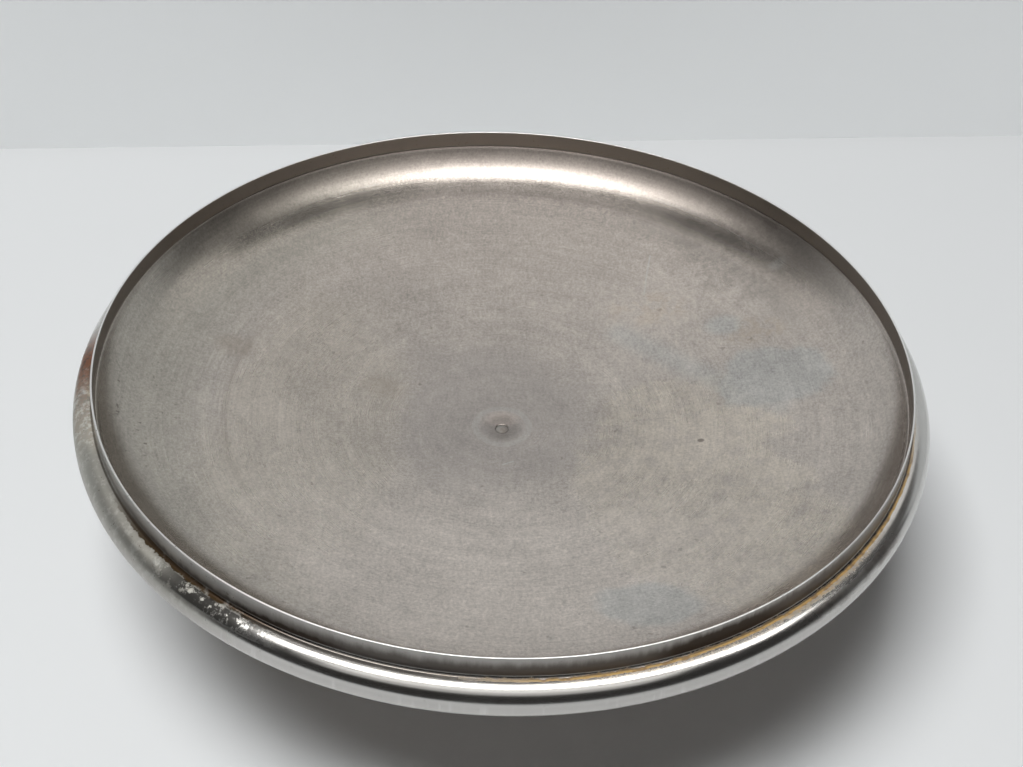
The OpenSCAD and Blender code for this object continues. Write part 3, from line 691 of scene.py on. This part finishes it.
def brass_finish():
    """Machined brass, tarnished brown where it is not rubbed."""
    f = Finish("bearing_brass")
    marks = f.rings(0.35 * MM, 0.6, 3.0)
    tarnish = f.step(f.noise(110.0, 5.0, 0.65, shift=4.0), 0.42, 0.68)
    tint = f.mix(f.shade((0.68, 0.46, 0.18), 0.86 + marks * 0.28), (0.34, 0.20, 0.09),
                 tarnish * 0.55)
    return f.surface(tint, 0.24 + tarnish * 0.16 + (marks - 0.5) * 0.1,
                     f.bump(marks, 0.01 * MM, 0.6), Metallic=1.0)


def one_sided(name, tint, rough, glow=0.0):
    """A matt backdrop that is clear from behind, with a very faint grain; glow lifts it."""
    f = Finish(name)
    grain = f.noise(6.0, 4.0, 0.5)
    shader = f.node("ShaderNodeBsdfPrincipled", inputs={
        "Base Color": f.shade(tint, 0.985 + grain * 0.03), "Roughness": rough,
        "Emission Color": tint, "Emission Strength": glow})
    behind = f.node("ShaderNodeNewGeometry", out="Backfacing")
    return f.end("ShaderNodeOutputMaterial", f.node("ShaderNodeMixShader", inputs={
        0: behind, 1: shader, 2: f.node("ShaderNodeBsdfTransparent")}))


def surround(dim, light):
    """A world that is dim towards -Y and lighter towards +Y, and pale where it is seen."""
    w = Shading(bpy.data.worlds.new("surround"))
    way = w.node("ShaderNodeTexCoord", out="Generated")
    back = w.step(w.node("ShaderNodeSeparateXYZ", inputs={0: way}, out=1), -0.2, 0.6)
    seen = w.node("ShaderNodeLightPath", out="Is Camera Ray")
    strength = (dim + back * (light - dim)) * (1 - seen) + seen * 0.6
    return w.end("ShaderNodeOutputWorld", w.node("ShaderNodeBackground", inputs={
        "Color": (1.0, 0.955, 0.92), "Strength": strength}))


# ---------------------------------------------------------------- operators

class MakeDish(bpy.types.Operator):
    """Makes the spun dish: a dome, a rounded wall and a soft dimple"""
    bl_idname = "turntable.make_dish"
    bl_label = "Make dish"

    def execute(self, context):
        s = context.scene.pan_shape
        half = s.sheet / 2
        lip_r, top = DISH_HIGH.x + SHEET_GAP + half, RIM_HIGH.z
        floor, start_r = top - s.dish_depth, lip_r - s.wall_inset
        rise = s.dish_depth - s.wall_depth
        dome = (start_r ** 2 + rise ** 2) / (2 * rise)
        angle = math.asin(start_r / dome)
        wall_x = start_r - s.wall_radius * math.sin(angle)
        wall_z = top - s.wall_depth + s.wall_radius * math.cos(angle)
        last = math.asin((DISH_HIGH.x - 0.55 * MM - wall_x) / s.wall_radius)
        near_dimple = s.dimple_radius * 1.1
        r = np.concatenate([
            np.linspace(s.pip_radius + SHEET_GAP + half, near_dimple, 18, endpoint=False),
            np.linspace(near_dimple, start_r, 34, endpoint=False)])
        soft = np.cos(np.clip(r / s.dimple_radius, 0, 1) * math.pi / 2) ** 2
        inner = np.stack([r, floor + dome - np.sqrt(dome ** 2 - r ** 2)
                          - s.dimple_depth * soft], 1)
        a = np.linspace(angle, last, 28)
        wall = np.stack([wall_x + s.wall_radius * np.sin(a),
                         wall_z - s.wall_radius * np.cos(a)], 1)
        upper = np.concatenate([inner, wall])
        d = unit(np.gradient(upper, axis=0))
        middle = upper + half * np.stack([d[:, 1], -d[:, 0]], 1)

        def wave(r, a):
            """Slow waves of two, three and five round the wall, none near the pad."""
            grow = np.clip((r - 84 * MM) / (34 * MM), 0, 1) ** 2
            return s.waviness * grow * (np.cos(2 * a + 0.6) + 0.6 * np.cos(3 * a - 1.1)
                                        + 0.35 * np.cos(5 * a + 2.0))

        grid = carried_round(sheet_loop(middle, half), s.around, wave=wave)
        piece("spun_dish", [(grid, True)], "wheel", ["pan_dish"],
              pan_steel_finish(context.scene.tints))
        return {"FINISHED"}


class MakeRim(bpy.types.Operator):
    """Makes the lip and the rolled bead from one bent sheet"""
    bl_idname = "turntable.make_rim"
    bl_label = "Make rim"

    def execute(self, context):
        s = context.scene.pan_shape
        half = s.sheet / 2
        bead_x, bead_z = RIM_HIGH.x - s.bead_radius, RIM_LOW.z + s.bead_radius
        lip_x = DISH_HIGH.x + SHEET_GAP + half
        bend = s.bend_radius + half
        bend_x, bend_z = lip_x + bend, bead_z + s.bead_radius + s.bend_radius
        drop = np.linspace(RIM_HIGH.z - half, bend_z, 14, endpoint=False)
        lip = np.stack([np.full(14, lip_x), drop], 1)
        a = np.radians(np.linspace(180, 270, 14))
        turn = np.stack([bend_x + bend * np.cos(a), bend_z + bend * np.sin(a)], 1)
        b = np.radians(np.linspace(90, -203, 64))
        curl = np.stack([bead_x + (s.bead_radius - half) * np.cos(b),
                         bead_z + (s.bead_radius - half) * np.sin(b)], 1)
        middle = np.concatenate([lip, turn, curl])
        grid = carried_round(sheet_loop(middle, half), s.around)
        piece("rolled_rim", [(grid, True)], "wheel", ["rim_band"],
              rim_steel_finish(context.scene.tints, s.bead_radius))
        return {"FINISHED"}


class MakePad(bpy.types.Operator):
    """Makes the rubber ring that the dish rests on"""
    bl_idname = "turntable.make_pad"
    bl_label = "Make pad"

    def execute(self, context):
        tints = context.scene.tints
        low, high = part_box("pan_pad")
        inner, outer, bulge = 54 * MM, high.x, 0.5 * MM
        # The upper face follows the dish's underside, of radius R: its sag is R less the
        # root of R^2 - r^2
        dome = 437.2 * MM
        seat = np.linspace(outer, inner, 6)
        sag = dome - np.sqrt(dome ** 2 - seat ** 2)
        top = [(r, z, soft * MM) for r, z, soft in
               zip(seat, high.z - sag[0] + sag, (0.8, 20, 20, 20, 20, 0.5))]
        section = rounded([
            (inner, low.z, 0.7 * MM), (outer, low.z, 0.7 * MM),
            (outer - bulge / 2, (low.z + high.z) / 2, 3 * MM), *top])
        piece("pad_ring", [(carried_round(section, WHEEL_RINGS), True)], "wheel",
              ["pan_pad"], rubber_finish("pad_rubber", tuple(tints.rubber)))
        return {"FINISHED"}


class MakeBase(bpy.types.Operator):
    """Makes the cast base with rounded edges, its ribs and the pads for its feet"""
    bl_idname = "turntable.make_base"
    bl_label = "Make base"

    def execute(self, context):
        s = context.scene.base_shape
        soft, low, top = s.round_edge, BASE_LOW.z, BASE_HIGH.z
        floor_z, bore, sleeve = 19 * MM, 10.02 * MM, 12.2 * MM
        inner, neck_r = s.radius - s.wall, s.housing + 4 * MM
        boss_low = 9 * MM
        section = rounded([
            (bore, boss_low, 0.4 * MM), (s.boss, boss_low, soft),
            (s.boss, floor_z - s.wall, 2.5 * MM), (neck_r - s.wall, floor_z - s.wall, 2.5 * MM),
            (neck_r, s.neck - s.wall, 2 * MM), (inner, s.shoulder - s.wall, 2.5 * MM),
            (inner, low, soft), (s.radius, low, soft), (s.radius, s.shoulder, 2.6 * MM),
            (neck_r, s.neck, 6 * MM), (s.housing, s.neck + 4 * MM, 2.5 * MM),
            (s.housing, top, 0.8 * MM), (27.2 * MM, top, 0.3 * MM),
            (27.2 * MM, top - 2 * MM, 0.2 * MM), (23.8 * MM, top - 2 * MM, 0.2 * MM),
            (23.8 * MM, top, 0.3 * MM), (22.5 * MM, top, 0.3 * MM),
            (22.5 * MM, floor_z + 3.6 * MM, 0.2 * MM), (21.02 * MM, floor_z + 3.6 * MM, 0.2 * MM),
            (21.02 * MM, floor_z, 0.3 * MM), (sleeve, floor_z, 0.3 * MM),
            (sleeve, 26.1 * MM, 0.4 * MM), (bore, 26.1 * MM, 0.3 * MM)])
        grids = [(carried_round(section, WHEEL_RINGS), True)]
        rib = rounded([(-2.5 * MM, s.foot_height, 1.2 * MM), (2.5 * MM, s.foot_height, 1.2 * MM),
                       (2.5 * MM, 17 * MM, 0.5 * MM), (-2.5 * MM, 17 * MM, 0.5 * MM)])
        along = np.linspace(s.boss - 1 * MM, inner + 1 * MM, 60)
        flare = 1 + 0.5 * (np.exp(-(along - s.boss) / (3 * MM))
                           + np.exp((along - inner) / (3 * MM)))
        span = (along - s.boss) / (inner - s.boss)
        # The rib's upper edge follows the cone's underside, half a wall above it
        cone = np.interp(along, [s.boss, neck_r - s.wall, neck_r, inner],
                         [floor_z - 2 * MM, floor_z - 2 * MM, s.neck - s.wall / 2,
                          s.shoulder - s.wall / 2])
        pad = rounded([(2.02 * MM, s.foot_height, 0.3 * MM),
                       (s.foot_radius + 1 * MM, s.foot_height, 0.8 * MM),
                       (s.foot_radius + 1 * MM, 10.6 * MM, 0.5 * MM),
                       (2.02 * MM, 10.6 * MM, 0.3 * MM)])
        for k in range(4):
            a = math.radians(45 + 90 * k)
            grid = carried_along(rib, np.stack([along, flare], 1), a)
            raised = (grid[..., 2] - s.foot_height) / (9 * MM)
            grid[..., 2] = s.foot_height + raised * (cone[:, None] - s.foot_height)
            grids.append((grid, False))
            centre = (s.foot_circle * math.cos(a), s.foot_circle * math.sin(a))
            grids.append((carried_round(pad, SMALL_RINGS, centre), True))
        piece("cast_base", grids, "base", ["base_casting"],
              cast_iron_finish(context.scene.tints))
        return {"FINISHED"}


class MakeFeet(bpy.types.Operator):
    """Makes the four moulded feet, with a rounded tread and a recess for the screw"""
    bl_idname = "turntable.make_feet"
    bl_label = "Make feet"

    def execute(self, context):
        s = context.scene.base_shape
        finish = rubber_finish("foot_rubber", tuple(context.scene.tints.rubber))
        hole, recess, deep = 2.3 * MM, 4.8 * MM, 3.6 * MM
        section = rounded([
            (hole, deep, 0.2 * MM), (recess, deep, 0.2 * MM), (recess, 0.0, 0.6 * MM),
            (s.foot_radius - 3.2 * MM, 0.0, 0.3 * MM),
            (s.foot_radius - 2.8 * MM, 0.6 * MM, 0.3 * MM),
            (s.foot_radius - 2.2 * MM, 0.6 * MM, 0.3 * MM),
            (s.foot_radius - 1.8 * MM, 0.0, 0.3 * MM),
            (s.foot_radius - 0.4 * MM, 0.0, 1.2 * MM),
            (s.foot_radius, s.foot_height, 0.9 * MM), (hole, s.foot_height, 0.3 * MM)])
        for k, node in enumerate(FEET):
            a = math.radians(45 + 90 * k)
            centre = (s.foot_circle * math.cos(a), s.foot_circle * math.sin(a))
            grid = carried_round(section, SMALL_RINGS, centre)
            piece(f"moulded_{node}", [(grid, True)], "base", [node], finish)
        return {"FINISHED"}


class DressFrame(bpy.types.Operator):
    """Gives each remaining CAD part its own worked metal, felt or bronze finish"""
    bl_idname = "turntable.dress_frame"
    bl_label = "Dress frame"

    def execute(self, context):
        turned = turned_finish("turned_steel", (0.42, 0.43, 0.44), 0.30, "both")
        ground = turned_finish("ground_steel", (0.58, 0.59, 0.60), 0.18, "both", 0.15 * MM,
                               (0.30, 0.24, 0.15), 0.12)
        zinc, black = zinc_finish(), black_oxide_finish()
        bronze = bronze_finish()
        finishes = {
            "pan_stud": weld_finish(), "wheel_plate": turned, "hub": turned,
            "hub_screws": black, "hub_lock_washers": zinc, "spindle": ground,
            "spindle_dowel": ground, "upper_race": ground, "lower_race": ground,
            "bearing_balls": ground, "end_washer": zinc, "retaining_ring": black,
            "bearing_cage": brass_finish(), "upper_bush": bronze, "lower_bush": bronze,
            "dust_seal": felt_finish(), "foot_washers": zinc, "foot_screws": zinc,
        }
        for node, finish in finishes.items():
            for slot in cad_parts[node].material_slots:
                slot.material = finish
        return {"FINISHED"}


class MakeStage(bpy.types.Operator):
    """Makes the pale floor and backdrop, the overhead panels, the surround and the camera"""
    bl_idname = "turntable.make_stage"
    bl_label = "Make stage"

    def execute(self, context):
        look, scene = context.scene.stage_look, context.scene
        floor = one_sided("stage_floor", tuple(look.floor), 0.6)
        wall = one_sided("stage_wall", tuple(look.wall), 0.85, look.wall_glow)
        half, high = 1.6, 0.40
        across, back = half * math.cos(look.wall_yaw), half * math.sin(look.wall_yaw)
        left, right = (-across, look.wall_y - back), (across, look.wall_y + back)
        self.backdrop(scene, "stage_wall", wall,
                      [(*left, high), (*right, high)][::-1] + [(*left, 0.0), (*right, 0.0)])
        reach = 4.0
        self.backdrop(scene, "stage_floor", floor, [(-reach, -reach, 0.0), (reach, -reach, 0.0),
                                                    (reach, reach, 0.0), (-reach, reach, 0.0)])

        self.panel(scene, "key_panel", (-0.95, -0.72, 4.0), (2.3, 1.9), look.key)
        self.panel(scene, "ceiling_panel", (0.0, 0.02, 0.80), (1.9, 0.8), look.ceiling,
                   sheen=True)
        self.panel(scene, "under_panel", (0.0, 0.0, -0.9), (1.4, 1.4), look.under, up=True)
        for name, place, size, part in SHEEN_PANELS:
            self.panel(scene, name, place, size, look.panel * part, lit=False, sheen=True)

        scene.world = surround(look.sky, look.sky * look.sky_rise)
        scene.view_settings.view_transform = "Standard"

        camera = bpy.data.cameras.new("main_camera")
        camera.lens, camera.sensor_width = look.lens, 36.0
        made = bpy.data.objects.new("main_camera", camera)
        scene.collection.objects.link(made)
        place, down, roll = (0.00291, -0.44636, 0.44663), 40.144, 2.726
        made.matrix_world = (Matrix.Translation(place)
                             @ Matrix.Rotation(math.radians(90 - down), 4, "X")
                             @ Matrix.Rotation(math.radians(roll), 4, "Z"))
        scene.camera = made
        return {"FINISHED"}

    def backdrop(self, scene, name, finish, corners):
        """One flat face of the stage. The wall sends no light on, so that the floor by it
        stays even, and the floor casts no shadow, so that the panel under it lights the
        object from below."""
        mesh = bpy.data.meshes.new(name)
        mesh.from_pydata(corners, [], [(0, 1, 2, 3)])
        mesh.materials.append(finish)
        made = bpy.data.objects.new(name, mesh)
        scene.collection.objects.link(made)
        made.visible_diffuse = name != "stage_wall"
        made.visible_shadow = name != "stage_floor"

    def panel(self, scene, name, place, size, radiance, lit=True, sheen=False, up=False):
        """A level rectangular light facing down, or up. Its power is its radiance times pi
        times its area. It lights matt surfaces if lit, and shows in metal if sheen."""
        light = bpy.data.lights.new(name, "AREA")
        light.shape, (light.size, light.size_y) = "RECTANGLE", size
        light.energy = radiance * math.pi * size[0] * size[1]
        light.color = (0.985, 1.0, 1.0) if lit else (1.0, 0.985, 0.96)
        made = bpy.data.objects.new(name, light)
        made.location = place
        made.rotation_euler.x = math.pi if up else 0.0
        made.visible_camera, made.visible_diffuse, made.visible_glossy = False, lit, sheen
        scene.collection.objects.link(made)


class TurntablePanel(bpy.types.Panel):
    """Lists the turntable's settings and its makers in the sidebar."""
    bl_idname = "VIEW3D_PT_turntable"
    bl_label = "Sculpting Turntable"
    bl_space_type = "VIEW_3D"
    bl_region_type = "UI"
    bl_category = "Turntable"

    def draw(self, context):
        for group in SETTINGS:
            box = self.layout.box()
            box.label(text=group.replace("_", " ").title())
            settings = getattr(context.scene, group)
            for key in settings.bl_rna.properties.keys():
                if key not in ("rna_type", "name"):
                    box.prop(settings, key)
        for maker in MAKERS:
            self.layout.operator(maker.bl_idname)


SETTINGS = {"pan_shape": PanShape, "base_shape": BaseShape, "tints": Tints,
            "stage_look": StageLook}
MAKERS = (MakeStage, MakeDish, MakeRim, MakePad, MakeBase, MakeFeet, DressFrame)


def register():
    for cls in (*SETTINGS.values(), *MAKERS, TurntablePanel):
        bpy.utils.register_class(cls)
    for name, group in SETTINGS.items():
        setattr(bpy.types.Scene, name, PointerProperty(type=group))


def unregister():
    for name in SETTINGS:
        delattr(bpy.types.Scene, name)
    for cls in (TurntablePanel, *reversed(MAKERS), *reversed(SETTINGS.values())):
        bpy.utils.unregister_class(cls)


def main():
    """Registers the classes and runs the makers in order."""
    register()
    makers = bpy.ops.turntable
    makers.make_stage()
    makers.make_dish()
    makers.make_rim()
    makers.make_pad()
    makers.make_base()
    makers.make_feet()
    makers.dress_frame()


if __name__ == "__main__":
    main()
